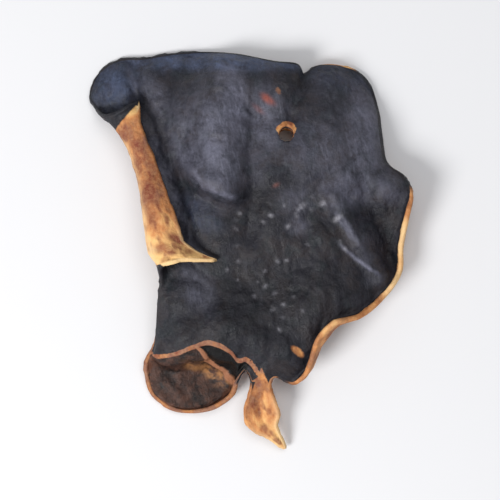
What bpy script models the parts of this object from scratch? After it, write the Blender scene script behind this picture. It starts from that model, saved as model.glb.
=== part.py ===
"""A dried wood ear: one thin, crumpled sheet that lies with its dark face up. Its left margin is rolled
over the face, a small cup hangs from its lower left margin, a tongue runs out beside it, and a pinhole
goes through. Under its middle is the stub that held it to the wood, cut off flat."""

import bpy
import numpy as np
from mathutils import Vector, noise
from mathutils.geometry import delaunay_2d_cdt

MM = 0.001
UNIT = 0.52  # millimetres in one unit of the outline, so the ear's width follows this

# Millimetres
THICK = 0.86
THIN_RIM = 0.54
THIN_REACH = 4.5
HOLE_RADIUS = 0.78
CREST = 5.7
CREST_DROP = 4.1
FOOT_RADIUS = 3.3
FOOT_FLARE = 6.4
VEIN_HEIGHT = 0.25
VEINS_FROM = 2.0
VEINS_TO = 8.0
TABLE_SOFTNESS = 0.25
LIFT_REACH = 5.0
BIG_WAVE = 5.5
BIG_WAVE_HEIGHT = 0.5
SMALL_WAVE = 2.6
SMALL_WAVE_HEIGHT = 0.25
CELL = 1.05

# Units
HOLE = (6.3, 17.0)
FOOT = (-1.5, -4.0)
CREST_AT = (-1.0, 1.0)
CREST_REACH = 34.0
VEINS = 11

# Mesh steps
PER_POINT = 2
BAND_RINGS = 11
BAND_STEPS = 12
HOLE_SIDES = 16
FOOT_SIDES = 28

# The margin as seen from above, counter-clockwise from the small lobe on the right, in units
OUTLINE = [
    (31.5, 5.2), (29.9, 8.8), (26.5, 11.6), (25.5, 17.1), (25.0, 21.7), (23.9, 26.2), (22.2, 29.0),
    (19.3, 30.9), (15.8, 31.4), (12.3, 31.0), (9.9, 29.4), (8.4, 31.4), (4.0, 31.9), (-1.5, 33.1),
    (-7.3, 33.9), (-13.0, 34.1), (-18.2, 33.6), (-22.6, 32.9), (-26.6, 32.8), (-29.8, 31.5),
    (-32.0, 29.4), (-33.2, 26.4), (-33.0, 24.2), (-30.8, 21.2), (-27.2, 18.7), (-24.7, 13.6),
    (-23.0, 8.2), (-21.9, 2.6), (-21.3, -2.4), (-20.9, -5.4), (-20.0, -7.3), (-19.2, -8.9),
    (-18.8, -11.6), (-19.3, -17.0), (-19.9, -24.0), (-22.1, -29.4), (-20.6, -35.4), (-15.4, -38.6),
    (-9.4, -38.2), (-4.8, -35.4), (-3.6, -32.4), (-1.9, -29.8), (-0.6, -32.5), (-2.0, -39.2),
    (-0.3, -42.3), (2.6, -43.9), (6.1, -46.1), (4.3, -41.4), (4.8, -38.7), (3.1, -33.6), (4.1, -31.2),
    (8.2, -32.6), (11.2, -29.4), (13.2, -24.6), (16.4, -20.8), (21.4, -18.9), (25.8, -15.3),
    (29.2, -10.4), (29.5, -5.0), (30.4, 0.2),
]

# Where the sheet starts to run out to each point of the margin. Inside this line it has one height at
# each place.
START = [
    (26.6, 6.6), (25.4, 8.8), (22.4, 11.6), (21.2, 16.6), (20.8, 20.6), (20.0, 23.8), (19.0, 25.8),
    (17.4, 26.9), (15.0, 27.3), (12.2, 27.0), (9.9, 25.4), (7.9, 27.0), (3.8, 27.6), (-1.0, 28.6),
    (-6.2, 29.2), (-11.6, 29.2), (-16.6, 28.8), (-20.6, 28.2), (-24.2, 28.4), (-26.6, 27.8),
    (-28.0, 27.0), (-28.8, 26.0), (-28.4, 24.9), (-27.6, 23.6), (-24.2, 22.8), (-21.9, 16.2),
    (-20.2, 9.2), (-18.6, 3.2), (-17.0, -3.6), (-16.0, -6.4), (-15.2, -8.0), (-14.7, -9.6),
    (-14.4, -11.8), (-14.8, -16.4), (-15.9, -21.2), (-17.6, -24.8), (-15.4, -25.0), (-12.4, -23.6),
    (-8.6, -22.6), (-5.2, -24.2), (-3.2, -26.4), (-1.2, -27.2), (0.3, -32.7), (-0.7, -38.8),
    (0.8, -41.2), (2.7, -42.3), (4.2, -43.6), (3.5, -41.5), (3.3, -39.3), (1.9, -34.0), (3.8, -28.8),
    (7.2, -27.6), (8.4, -25.4),
    (9.8, -21.8), (13.4, -17.4), (18.8, -14.8), (22.2, -12.0), (24.4, -8.4), (24.8, -4.0), (25.6, 1.6),
]

# How the sheet curls on its way to the margin, for some points of the outline. Each row holds the point's
# number, the lift of the margin, a first turn in degrees with its radius and the run after it, then a
# second turn with its radius and run. A turn above zero curls up and over the face.
CURL = [
    (0, 1.4, 50, 1.6, 0.3, 0, 1.0, 0.0),
    (2, -0.2, -30, 2.0, 0.3, 0, 1.0, 0.0),
    (4, -0.6, -50, 1.8, 0.3, 0, 1.0, 0.0),
    (6, -1.0, -55, 1.8, 0.3, 0, 1.0, 0.0),
    (8, 0.0, -50, 1.6, 0.3, 0, 1.0, 0.0),
    (9, -0.2, -40, 1.6, 0.2, 0, 1.0, 0.0),
    (10, 0.2, -25, 1.6, 0.2, 0, 1.0, 0.0),
    (11, 0.9, -35, 1.8, 0.2, 0, 1.0, 0.0),
    (13, 0.4, -55, 1.8, 0.4, 0, 1.0, 0.0),
    (15, -0.7, -60, 1.8, 0.5, 0, 1.0, 0.0),
    (17, 0.5, -50, 1.8, 0.3, 0, 1.0, 0.0),
    (19, 1.0, -60, 1.8, 0.3, 0, 1.0, 0.0),
    (21, 0.9, -45, 1.8, 0.3, 0, 1.0, 0.0),
    (22, 0.6, -30, 1.6, 0.3, 0, 1.0, 0.0),
    (22.5, 0.5, 0, 1.4, 0.2, 0, 1.0, 0.0),
    (23, 0.3, 85, 1.2, 0.3, 0, 1.0, 0.0),
    (23.5, 0.1, 130, 1.2, 0.9, 0, 1.0, 0.0),
    (24, -0.2, 175, 1.15, 2.2, 0, 1.0, 0.0),
    (24.5, -0.5, 190, 1.15, 0.8, 0, 1.0, 0.0),
    (25, -0.8, 195, 1.2, 0.4, 0, 1.0, 0.0),
    (26, -1.1, 194, 1.25, 0.45, 0, 1.0, 0.0),
    (27, -1.2, 192, 1.3, 0.95, 0, 1.0, 0.0),
    (28, -1.2, 190, 1.3, 2.2, 0, 1.0, 0.0),
    (29, -1.1, 186, 1.25, 5.6, 0, 1.0, 0.0),
    (30, -0.8, 178, 1.2, 1.5, 0, 1.0, 0.0),
    (31, -0.5, 130, 1.2, 0.3, 0, 1.0, 0.0),
    (32, -0.2, 50, 1.3, 0.3, 0, 1.0, 0.0),
    (33, 0.4, -25, 1.6, 0.3, 0, 1.0, 0.0),
    (34, 0.9, -45, 1.6, 0.3, 0, 1.0, 0.0),
    (35, 1.2, -70, 0.8, 0.2, 110, 0.7, 0.2),
    (36, 1.5, -82, 0.8, 0.4, 162, 1.9, 0.6),
    (37, 1.7, -82, 0.8, 0.6, 164, 2.9, 1.0),
    (38, 1.7, -82, 0.8, 0.6, 166, 2.9, 1.0),
    (39, 1.5, -82, 0.8, 0.4, 160, 1.8, 0.8),
    (40, 1.4, -50, 0.8, 0.2, 80, 0.8, 0.2),
    (41, 1.4, -30, 0.8, 0.1, 30, 0.8, 0.1),
    (42, 2.0, 10, 1.0, 0.1, 0, 1.0, 0.0),
    (44, 3.0, 12, 1.0, 0.1, 0, 1.0, 0.0),
    (46, 3.2, 0, 1.0, 0.2, 0, 1.0, 0.0),
    (48, 2.8, 12, 1.0, 0.1, 0, 1.0, 0.0),
    (49, 2.1, 10, 1.0, 0.1, 0, 1.0, 0.0),
    (50, 1.8, 12, 1.0, 0.2, 0, 1.0, 0.0),
    (51, 1.4, 40, 1.0, 0.3, 0, 1.0, 0.0),
    (52, 1.2, 115, 0.9, 0.4, 0, 1.0, 0.0),
    (53, 1.9, 125, 0.9, 0.7, 0, 1.0, 0.0),
    (54, 2.2, 120, 0.9, 0.6, 0, 1.0, 0.0),
    (55, 1.9, 80, 0.9, 0.2, 0, 1.0, 0.0),
    (56, 0.8, 70, 0.9, 0.2, 0, 1.0, 0.0),
    (57, -0.2, 85, 1.0, 0.2, 0, 1.0, 0.0),
    (58, 0.2, 100, 1.0, 0.3, 0, 1.0, 0.0),
    (59, 1.0, 90, 1.0, 0.3, 0, 1.0, 0.0),
]

# Ridges and troughs of the face: from x, y to x, y and half width in units, then height in millimetres
RELIEF = [
    (-8.5, 24.0, -6.4, 9.0, 5.2, 1.9),
    (-11.8, 9.2, -4.2, 5.2, 1.6, 0.9),
    (-13.6, 6.4, -4.6, 1.8, 2.0, -0.6),
    (-1.6, 19.0, -0.4, -2.0, 3.0, -0.8),
    (9.9, 28.5, 7.0, 20.5, 2.1, -0.9),
    (15.5, 20.0, 15.5, 15.0, 8.0, 1.0),
    (15.5, 5.0, 25.4, -11.5, 1.8, 1.0),
    (22.5, 5.0, 27.0, -6.5, 3.0, -1.2),
    (-25.0, 33.0, -23.4, 23.5, 1.5, -0.8),
    (-19.5, 15.0, -12.0, -5.0, 3.0, -0.7),
    (-14.6, -14.0, -14.6, -23.0, 2.4, 0.5),
    (1.2, -36.5, 1.5, -40.0, 1.7, -0.45),
    (-2.0, -10.0, 10.0, -12.0, 7.0, -0.8),
    (-6.0, -22.0, 6.0, -26.0, 4.0, 0.9),
    (14.0, -4.0, 12.0, -18.0, 3.0, 0.6),
]


def relief(x, y):
    """The height of the sheet over the table in millimetres, at x and y in units."""
    far = ((x - CREST_AT[0]) ** 2 + (y - CREST_AT[1]) ** 2) / CREST_REACH**2
    z = CREST - CREST_DROP * far
    for x0, y0, x1, y1, width, height in RELIEF:
        dx, dy = x1 - x0, y1 - y0
        t = np.clip(((x - x0) * dx + (y - y0) * dy) / (dx * dx + dy * dy + 1e-9), 0, 1)
        gap = (x - x0 - t * dx) ** 2 + (y - y0 - t * dy) ** 2
        z = z + height * np.exp(-gap / width**2)
    return z


def waves(points, size, seed):
    """Smooth noise about zero at each point, for waves of about this size."""
    shift = Vector((seed * 7.3, seed * 3.1, seed * 5.7))
    return np.array([noise.noise(Vector(p) / size + shift) for p in points])


def smooth_step(t):
    t = np.clip(t, 0, 1)
    return t * t * (3 - 2 * t)


def closed_curve(points, per_point):
    """A smooth closed curve through the points, with this many places for each."""
    points = np.array(points)
    count = len(points)
    place = np.arange(count * per_point) / per_point
    i = place.astype(int)
    t = (place - i)[:, None]
    a, b, c, d = (points[(i + k) % count] for k in (-1, 0, 1, 2))
    return b + 0.5 * t * (c - a + t * (2 * a - 5 * b + 4 * c - d + t * (3 * (b - c) + d - a)))


def curl(per_point):
    """Each column of CURL after the first, at each place round the margin."""
    rows = np.array(CURL, float)
    again = rows[0].copy()
    again[0] += len(OUTLINE)
    rows = np.vstack([rows, again])
    place = np.arange(len(OUTLINE) * per_point) / per_point
    return [np.interp(place, rows[:, 0], rows[:, k]) for k in range(1, rows.shape[1])]


def circle(centre, radius, sides):
    turn = np.arange(sides) * 2 * np.pi / sides
    return np.array(centre) * UNIT + radius * np.stack([np.cos(turn), np.sin(turn)], axis=1)


def inside(points, loop):
    """Whether each point is inside the closed loop."""
    x, y = points[:, :1], points[:, 1:2]
    x0, y0 = loop.T
    x1, y1 = np.roll(loop, -1, axis=0).T
    crosses = (y0 > y) != (y1 > y)
    with np.errstate(divide="ignore", invalid="ignore"):
        right = x < (x1 - x0) * (y - y0) / (y1 - y0) + x0
    return (crosses & right).sum(axis=1) % 2 == 1


def distance(points, loop):
    """The distance from each point to the nearest of the loop's points, and that point's number."""
    gaps = np.linalg.norm(points[:, None] - loop[None], axis=2)
    return gaps.min(axis=1), gaps.argmin(axis=1)


def interior(start, hole, rings, cell):
    """A plan of even triangles between the closed lines start and hole, with points on the given rings.
    Its points begin with those of start and then of hole."""
    low, high = start.min(axis=0), start.max(axis=0)
    rows = np.arange(low[1], high[1], cell * 0.866)
    spots = [
        (x, y) for k, y in enumerate(rows) for x in np.arange(low[0] + (k % 2) * cell / 2, high[0], cell)
    ]
    spots = np.array(spots)
    fixed = np.concatenate([start, hole, *rings])
    spots = spots[inside(spots, start) & (distance(spots, fixed)[0] > 0.62 * cell)]
    spots = spots[np.linalg.norm(spots - hole.mean(axis=0), axis=1) > HOLE_RADIUS]
    points = np.concatenate([fixed, spots])
    first, second = len(start), len(start) + len(hole)
    edges = [(i, (i + 1) % first) for i in range(first)]
    edges += [(i, i + 1 if i + 1 < second else first) for i in range(first, second)]
    found = delaunay_2d_cdt([Vector(p) for p in points], edges, [], 1, 1e-7)
    spots = np.array([tuple(p) for p in found[0]])
    faces = np.array(found[2])
    middle = spots[faces].mean(axis=1)
    open_part = np.linalg.norm(middle - hole.mean(axis=0), axis=1) < HOLE_RADIUS * 0.98
    faces = faces[~open_part]
    a, b, c = (spots[faces[:, k]] for k in range(3))
    turned = (b[:, 0] - a[:, 0]) * (c[:, 1] - a[:, 1]) < (b[:, 1] - a[:, 1]) * (c[:, 0] - a[:, 0])
    faces[turned] = faces[turned][:, ::-1]
    return spots, faces


def sheet(per_point, band_rings, cell):
    """The middle of the sheet's thickness in millimetres: its points, its triangles with the dark face up,
    how far out each point is from 0 inside START to 1 at the margin, how far it is from the margin along
    the sheet, and the numbers of the margin's and the hole's points."""
    edge = closed_curve(OUTLINE, per_point) * UNIT
    start = closed_curve(START, per_point) * UNIT
    lift, turn1, radius1, run1, turn2, radius2, run2 = curl(per_point)
    columns = len(edge)
    span = np.linalg.norm(edge - start, axis=1)
    way = (edge - start) / span[:, None]
    arc1 = np.radians(np.abs(turn1)) * radius1 + 1e-6
    arc2 = np.radians(np.abs(turn2)) * radius2 + 1e-6

    def profile(lead):
        whole = lead + arc1 + run1 + arc2 + run2
        steps = band_rings * BAND_STEPS
        s = (np.arange(steps) + 0.5)[:, None] / steps * whole
        heading = turn1 * np.clip((s - lead) / arc1, 0, 1)
        heading = np.radians(heading + turn2 * np.clip((s - lead - arc1 - run1) / arc2, 0, 1))
        zero = np.zeros((1, columns))
        out = np.vstack([zero, np.cumsum(np.cos(heading), axis=0)]) * whole / steps
        up = np.vstack([zero, np.cumsum(np.sin(heading), axis=0)]) * whole / steps
        return out, up

    lead = np.maximum(0.1, span - profile(np.zeros(columns))[0].max(axis=0))
    out, up = profile(lead)
    out = out * (span / out.max(axis=0))
    whole = lead + arc1 + run1 + arc2 + run2
    out, up = out[::BAND_STEPS], up[::BAND_STEPS]
    hole = circle(HOLE, HOLE_RADIUS, HOLE_SIDES)
    rings = [
        circle(FOOT, radius, FOOT_SIDES) for radius in (FOOT_RADIUS, FOOT_RADIUS + 0.7, FOOT_RADIUS + 1.6)
    ]
    plan, faces = interior(start, hole, rings, cell)
    near, which = distance(plan, start)
    weight = 1 / (np.linalg.norm(plan[:, None] - start[None], axis=2) + 0.02) ** 3
    weight = weight / weight.sum(axis=1)[:, None]
    raised = (weight @ lift) * np.exp(-((near / LIFT_REACH) ** 2))
    z = relief(plan[:, 0] / UNIT, plan[:, 1] / UNIT) + raised
    points = [np.column_stack([plan, z])]
    share = [np.zeros(len(plan))]
    depth = [near + whole[which]]
    faces = [faces]
    inner = np.arange(columns)
    count = len(plan)
    for k in range(1, band_rings + 1):
        spot = start + way * out[k][:, None]
        z = relief(spot[:, 0] / UNIT, spot[:, 1] / UNIT) + lift + up[k]
        points.append(np.column_stack([spot, z]))
        share.append(np.full(columns, k / band_rings))
        depth.append(whole * (1 - k / band_rings))
        outer = count + np.arange(columns)
        count += columns
        a, b, c, d = inner, outer, np.roll(outer, -1), np.roll(inner, -1)
        faces.append(np.column_stack([a, b, c]))
        faces.append(np.column_stack([a, c, d]))
        inner = outer
    hole_points = columns + np.arange(HOLE_SIDES)
    points, faces, share, depth = (np.concatenate(part) for part in (points, faces, share, depth))
    return points, faces, share, depth, inner, hole_points


def facing(points, faces):
    """The unit normal at each point."""
    a, b, c = (points[faces[:, k]] for k in range(3))
    across = np.cross(b - a, c - a)
    normal = np.zeros_like(points)
    for k in range(3):
        np.add.at(normal, faces[:, k], across)
    return normal / np.linalg.norm(normal, axis=1)[:, None]


def build():
    grid, faces, share, depth, margin, hole = sheet(PER_POINT, BAND_RINGS, CELL)
    big, small = waves(grid, BIG_WAVE, 1), waves(grid, SMALL_WAVE, 2)
    grid[:, 2] += BIG_WAVE_HEIGHT * big + SMALL_WAVE_HEIGHT * small
    half = (THIN_RIM + (THICK - THIN_RIM) * smooth_step(depth / THIN_REACH)) / 2
    grid[:, 2] = half + TABLE_SOFTNESS * np.logaddexp(0, (grid[:, 2] - half) / TABLE_SOFTNESS)
    normal = facing(grid, faces)
    top = grid + normal * half[:, None]
    low = grid - normal * half[:, None]
    from_foot = grid[:, :2] - np.array(FOOT) * UNIT
    gap = np.linalg.norm(from_foot, axis=1)
    turn = np.arctan2(from_foot[:, 1], from_foot[:, 0])
    fade = smooth_step((gap - VEINS_FROM) / 3.0) * (1 - smooth_step((gap - VEINS_TO) / 7.0)) * (share < 0.1)
    low[:, 2] -= VEIN_HEIGHT * fade * (0.5 + 0.5 * np.cos(VEINS * turn + 0.25 * gap))
    down = np.clip((FOOT_FLARE - gap) / (FOOT_FLARE - FOOT_RADIUS - 0.01), 0, 1) ** 1.6
    down = np.where(share > 0, 0, down)
    low[:, :2] += (grid[:, :2] - low[:, :2]) * down[:, None]
    low[:, 2] *= 1 - down
    low[:, 2] = np.where(low[:, 2] < 0.05, 0, low[:, 2])
    along = np.roll(grid[margin], -1, axis=0) - np.roll(grid[margin], 1, axis=0)
    outward = np.cross(along, normal[margin])
    outward /= np.linalg.norm(outward, axis=1)[:, None]
    lip = grid[margin] + outward * THIN_RIM * 0.42
    lip[:, 2] = np.maximum(lip[:, 2], THIN_RIM * 0.4)

    count = len(grid)
    rim = 2 * count + np.arange(len(margin))
    solid = [faces, faces[:, ::-1] + count]
    for a, b in ((margin, rim), (rim, margin + count)):
        c, d = np.roll(b, -1), np.roll(a, -1)
        solid.append(np.column_stack([a, b, c]))
        solid.append(np.column_stack([a, c, d]))
    a, b = hole, hole + count
    c, d = np.roll(b, -1), np.roll(a, -1)
    solid.append(np.column_stack([a, c, b]))
    solid.append(np.column_stack([a, d, c]))
    points = np.concatenate([top, low, lip])
    faces = np.concatenate(solid)
    middle = (points.min(axis=0) + points.max(axis=0)) / 2
    points[:, :2] -= middle[:2]

    mesh = bpy.data.meshes.new("wood_ear")
    mesh.from_pydata((points * MM).tolist(), [], faces.tolist())
    mesh.validate()
    mesh.shade_smooth()
    ear = bpy.data.objects.new("wood_ear", mesh)
    bpy.context.scene.collection.objects.link(ear)
    flesh = bpy.data.materials.new("dried_flesh")
    flesh.use_nodes = True
    shader = flesh.node_tree.nodes["Principled BSDF"]
    shader.inputs["Base Color"].default_value = (0.035, 0.034, 0.042, 1)
    shader.inputs["Roughness"].default_value = 0.55
    mesh.materials.append(flesh)


for old in list(bpy.data.objects):
    bpy.data.objects.remove(old, do_unlink=True)
build()
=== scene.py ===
"""The looks of a dried wood ear: a finely wrinkled sheet with a dark face, and a tan underside and rim."""

import bpy
import numpy as np
from mathutils import Euler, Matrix, Vector, kdtree, noise
from mathutils.geometry import delaunay_2d_cdt


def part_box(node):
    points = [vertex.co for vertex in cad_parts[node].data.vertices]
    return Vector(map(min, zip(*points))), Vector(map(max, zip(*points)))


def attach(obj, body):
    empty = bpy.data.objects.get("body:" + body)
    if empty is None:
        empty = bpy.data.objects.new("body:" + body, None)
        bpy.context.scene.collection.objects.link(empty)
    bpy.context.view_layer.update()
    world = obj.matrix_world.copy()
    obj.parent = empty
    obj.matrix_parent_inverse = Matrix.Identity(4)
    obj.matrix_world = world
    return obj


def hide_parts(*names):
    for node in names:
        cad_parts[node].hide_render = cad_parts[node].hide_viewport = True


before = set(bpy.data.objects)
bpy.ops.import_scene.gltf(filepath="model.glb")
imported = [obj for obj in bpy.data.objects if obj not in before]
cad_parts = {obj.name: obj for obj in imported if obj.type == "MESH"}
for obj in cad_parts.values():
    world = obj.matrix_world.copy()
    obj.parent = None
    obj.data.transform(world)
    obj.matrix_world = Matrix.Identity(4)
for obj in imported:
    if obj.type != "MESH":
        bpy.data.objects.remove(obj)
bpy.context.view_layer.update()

MM = 0.001
UNIT = 0.52  # millimetres in one unit of the outline, as in the solid

# Millimetres, as in the solid
THICK = 0.86
THIN_RIM = 0.54
THIN_REACH = 4.5
HOLE_RADIUS = 0.78
CREST = 5.7
CREST_DROP = 4.1
FOOT_RADIUS = 3.3
FOOT_FLARE = 6.4
VEIN_HEIGHT = 0.25
VEINS_FROM = 2.0
VEINS_TO = 8.0
VEINS_FADE_IN = 3.0
VEINS_FADE_OUT = 7.0
VEIN_TWIST = 0.25  # radians for a millimetre of the way out
FOOT_CURVE = 1.6  # power of the flare above the foot
FLAT_BELOW = 0.05  # what is lower than this is on the table
LEAST_TOP = 0.3  # the face's least height
TABLE_SOFTNESS = 0.25
LIFT_REACH = 5.0
BIG_WAVE = 5.5
BIG_WAVE_HEIGHT = 0.5
SMALL_WAVE = 2.6
SMALL_WAVE_HEIGHT = 0.25
LEAST_LEAD = 0.1  # from START to the sheet's first turn
NEAREST = 0.02  # added to a distance, so that its share stays finite
FOOT_RINGS = (0.0, 0.7, 1.6)  # rings of points round the foot, past its edge

# Units, as in the solid
HOLE = (6.3, 17.0)
FOOT = (-1.5, -4.0)
CREST_AT = (-1.0, 1.0)
CREST_REACH = 34.0
VEINS = 11

# Mesh steps, finer than the solid's
CELL = 0.205
ROW_STEP = 0.866  # of a cell, from row to row
LEAST_GAP = 0.62  # of a cell, between a point of a row and one of a line
PER_POINT = 8
BAND_RINGS = 44
BAND_STEPS = 4
NORMAL_ROUNDS = 30  # of evening out the direction in which the sheet is thickened
HOLE_SIDES = 44
FOOT_SIDES = 80

# The margin as seen from above, counter-clockwise from the small lobe on the right, in units
OUTLINE = [
    (31.5, 5.2), (29.9, 8.8), (26.5, 11.6), (25.5, 17.1), (25.0, 21.7), (23.9, 26.2), (22.2, 29.0),
    (19.3, 30.9), (15.8, 31.4), (12.3, 31.0), (9.9, 29.4), (8.4, 31.4), (4.0, 31.9), (-1.5, 33.1),
    (-7.3, 33.9), (-13.0, 34.1), (-18.2, 33.6), (-22.6, 32.9), (-26.6, 32.8), (-29.8, 31.5),
    (-32.0, 29.4), (-33.2, 26.4), (-33.0, 24.2), (-30.8, 21.2), (-27.2, 18.7), (-24.7, 13.6),
    (-23.0, 8.2), (-21.9, 2.6), (-21.3, -2.4), (-20.9, -5.4), (-20.0, -7.3), (-19.2, -8.9),
    (-18.8, -11.6), (-19.3, -17.0), (-19.9, -24.0), (-22.1, -29.4), (-20.6, -35.4), (-15.4, -38.6),
    (-9.4, -38.2), (-4.8, -35.4), (-3.6, -32.4), (-1.9, -29.8), (-0.6, -32.5), (-2.0, -39.2),
    (-0.3, -42.3), (2.6, -43.9), (6.1, -46.1), (4.3, -41.4), (4.8, -38.7), (3.1, -33.6), (4.1, -31.2),
    (8.2, -32.6), (11.2, -29.4), (13.2, -24.6), (16.4, -20.8), (21.4, -18.9), (25.8, -15.3),
    (29.2, -10.4), (29.5, -5.0), (30.4, 0.2),
]

# Where the sheet starts to run out to each point of the margin. Inside this line it has one height at
# each place.
START = [
    (26.6, 6.6), (25.4, 8.8), (22.4, 11.6), (21.2, 16.6), (20.8, 20.6), (20.0, 23.8), (19.0, 25.8),
    (17.4, 26.9), (15.0, 27.3), (12.2, 27.0), (9.9, 25.4), (7.9, 27.0), (3.8, 27.6), (-1.0, 28.6),
    (-6.2, 29.2), (-11.6, 29.2), (-16.6, 28.8), (-20.6, 28.2), (-24.2, 28.4), (-26.6, 27.8),
    (-28.0, 27.0), (-28.8, 26.0), (-28.4, 24.9), (-27.6, 23.6), (-24.2, 22.8), (-21.9, 16.2),
    (-20.2, 9.2), (-18.6, 3.2), (-17.0, -3.6), (-16.0, -6.4), (-15.2, -8.0), (-14.7, -9.6),
    (-14.4, -11.8), (-14.8, -16.4), (-15.9, -21.2), (-17.6, -24.8), (-15.4, -25.0), (-12.4, -23.6),
    (-8.6, -22.6), (-5.2, -24.2), (-3.2, -26.4), (-1.2, -27.2), (0.3, -32.7), (-0.7, -38.8),
    (0.8, -41.2), (2.7, -42.3), (4.2, -43.6), (3.5, -41.5), (3.3, -39.3), (1.9, -34.0), (3.8, -28.8),
    (7.2, -27.6), (8.4, -25.4), (9.8, -21.8), (13.4, -17.4), (18.8, -14.8), (22.2, -12.0), (24.4, -8.4),
    (24.8, -4.0), (25.6, 1.6),
]

# How the sheet curls on its way to the margin, for some points of the outline. Each row holds the point's
# number, the lift of the margin, a first turn in degrees with its radius and the run after it, then a
# second turn with its radius and run. A turn above zero curls up and over the face.
CURL = [
    (0, 1.4, 50, 1.6, 0.3, 0, 1.0, 0.0),
    (2, -0.2, -30, 2.0, 0.3, 0, 1.0, 0.0),
    (4, -0.6, -50, 1.8, 0.3, 0, 1.0, 0.0),
    (6, -1.0, -55, 1.8, 0.3, 0, 1.0, 0.0),
    (8, 0.0, -50, 1.6, 0.3, 0, 1.0, 0.0),
    (9, -0.2, -40, 1.6, 0.2, 0, 1.0, 0.0),
    (10, 0.2, -25, 1.6, 0.2, 0, 1.0, 0.0),
    (11, 0.9, -35, 1.8, 0.2, 0, 1.0, 0.0),
    (13, 0.4, -55, 1.8, 0.4, 0, 1.0, 0.0),
    (15, -0.7, -60, 1.8, 0.5, 0, 1.0, 0.0),
    (17, 0.5, -50, 1.8, 0.3, 0, 1.0, 0.0),
    (19, 1.0, -60, 1.8, 0.3, 0, 1.0, 0.0),
    (21, 0.9, -45, 1.8, 0.3, 0, 1.0, 0.0),
    (22, 0.6, -30, 1.6, 0.3, 0, 1.0, 0.0),
    (22.5, 0.5, 0, 1.4, 0.2, 0, 1.0, 0.0),
    (23, 0.3, 85, 1.2, 0.3, 0, 1.0, 0.0),
    (23.5, 0.1, 130, 1.2, 0.9, 0, 1.0, 0.0),
    (24, -0.2, 175, 1.15, 2.2, 0, 1.0, 0.0),
    (24.5, -0.5, 190, 1.15, 0.8, 0, 1.0, 0.0),
    (25, -0.8, 195, 1.2, 0.4, 0, 1.0, 0.0),
    (26, -1.1, 194, 1.25, 0.45, 0, 1.0, 0.0),
    (27, -1.2, 192, 1.3, 0.95, 0, 1.0, 0.0),
    (28, -1.2, 190, 1.3, 2.2, 0, 1.0, 0.0),
    (29, -1.1, 186, 1.25, 5.6, 0, 1.0, 0.0),
    (30, -0.8, 178, 1.2, 1.5, 0, 1.0, 0.0),
    (31, -0.5, 130, 1.2, 0.3, 0, 1.0, 0.0),
    (32, -0.2, 50, 1.3, 0.3, 0, 1.0, 0.0),
    (33, 0.4, -25, 1.6, 0.3, 0, 1.0, 0.0),
    (34, 0.9, -45, 1.6, 0.3, 0, 1.0, 0.0),
    (35, 1.2, -70, 0.8, 0.2, 110, 0.7, 0.2),
    (36, 1.5, -82, 0.8, 0.4, 162, 1.9, 0.6),
    (37, 1.7, -82, 0.8, 0.6, 164, 2.9, 1.0),
    (38, 1.7, -82, 0.8, 0.6, 166, 2.9, 1.0),
    (39, 1.5, -82, 0.8, 0.4, 160, 1.8, 0.8),
    (40, 1.4, -50, 0.8, 0.2, 80, 0.8, 0.2),
    (41, 1.4, -30, 0.8, 0.1, 30, 0.8, 0.1),
    (42, 2.0, 10, 1.0, 0.1, 0, 1.0, 0.0),
    (44, 3.0, 12, 1.0, 0.1, 0, 1.0, 0.0),
    (46, 3.2, 0, 1.0, 0.2, 0, 1.0, 0.0),
    (48, 2.8, 12, 1.0, 0.1, 0, 1.0, 0.0),
    (49, 2.1, 10, 1.0, 0.1, 0, 1.0, 0.0),
    (50, 1.8, 12, 1.0, 0.2, 0, 1.0, 0.0),
    (51, 1.4, 40, 1.0, 0.3, 0, 1.0, 0.0),
    (52, 1.2, 115, 0.9, 0.4, 0, 1.0, 0.0),
    (53, 1.9, 125, 0.9, 0.7, 0, 1.0, 0.0),
    (54, 2.2, 120, 0.9, 0.6, 0, 1.0, 0.0),
    (55, 1.9, 80, 0.9, 0.2, 0, 1.0, 0.0),
    (56, 0.8, 70, 0.9, 0.2, 0, 1.0, 0.0),
    (57, -0.2, 85, 1.0, 0.2, 0, 1.0, 0.0),
    (58, 0.2, 100, 1.0, 0.3, 0, 1.0, 0.0),
    (59, 1.0, 90, 1.0, 0.3, 0, 1.0, 0.0),
]

# Ridges and troughs of the face: from x, y to x, y and half width in units, then height in millimetres
RELIEF = [
    (-8.5, 24.0, -6.4, 9.0, 5.2, 1.9),
    (-11.8, 9.2, -4.2, 5.2, 1.6, 0.9),
    (-13.6, 6.4, -4.6, 1.8, 2.0, -0.6),
    (-1.6, 19.0, -0.4, -2.0, 3.0, -0.8),
    (9.9, 28.5, 7.0, 20.5, 2.1, -0.9),
    (15.5, 20.0, 15.5, 15.0, 8.0, 1.0),
    (15.5, 5.0, 25.4, -11.5, 1.8, 1.0),
    (22.5, 5.0, 27.0, -6.5, 3.0, -1.2),
    (-25.0, 33.0, -23.4, 23.5, 1.5, -0.8),
    (-19.5, 15.0, -12.0, -5.0, 3.0, -0.7),
    (-14.6, -14.0, -14.6, -23.0, 2.4, 0.5),
    (1.2, -36.5, 1.5, -40.0, 1.7, -0.45),
    (-2.0, -10.0, 10.0, -12.0, 7.0, -0.8),
    (-6.0, -22.0, 6.0, -26.0, 4.0, 0.9),
    (14.0, -4.0, 12.0, -18.0, 3.0, 0.6),
]

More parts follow.
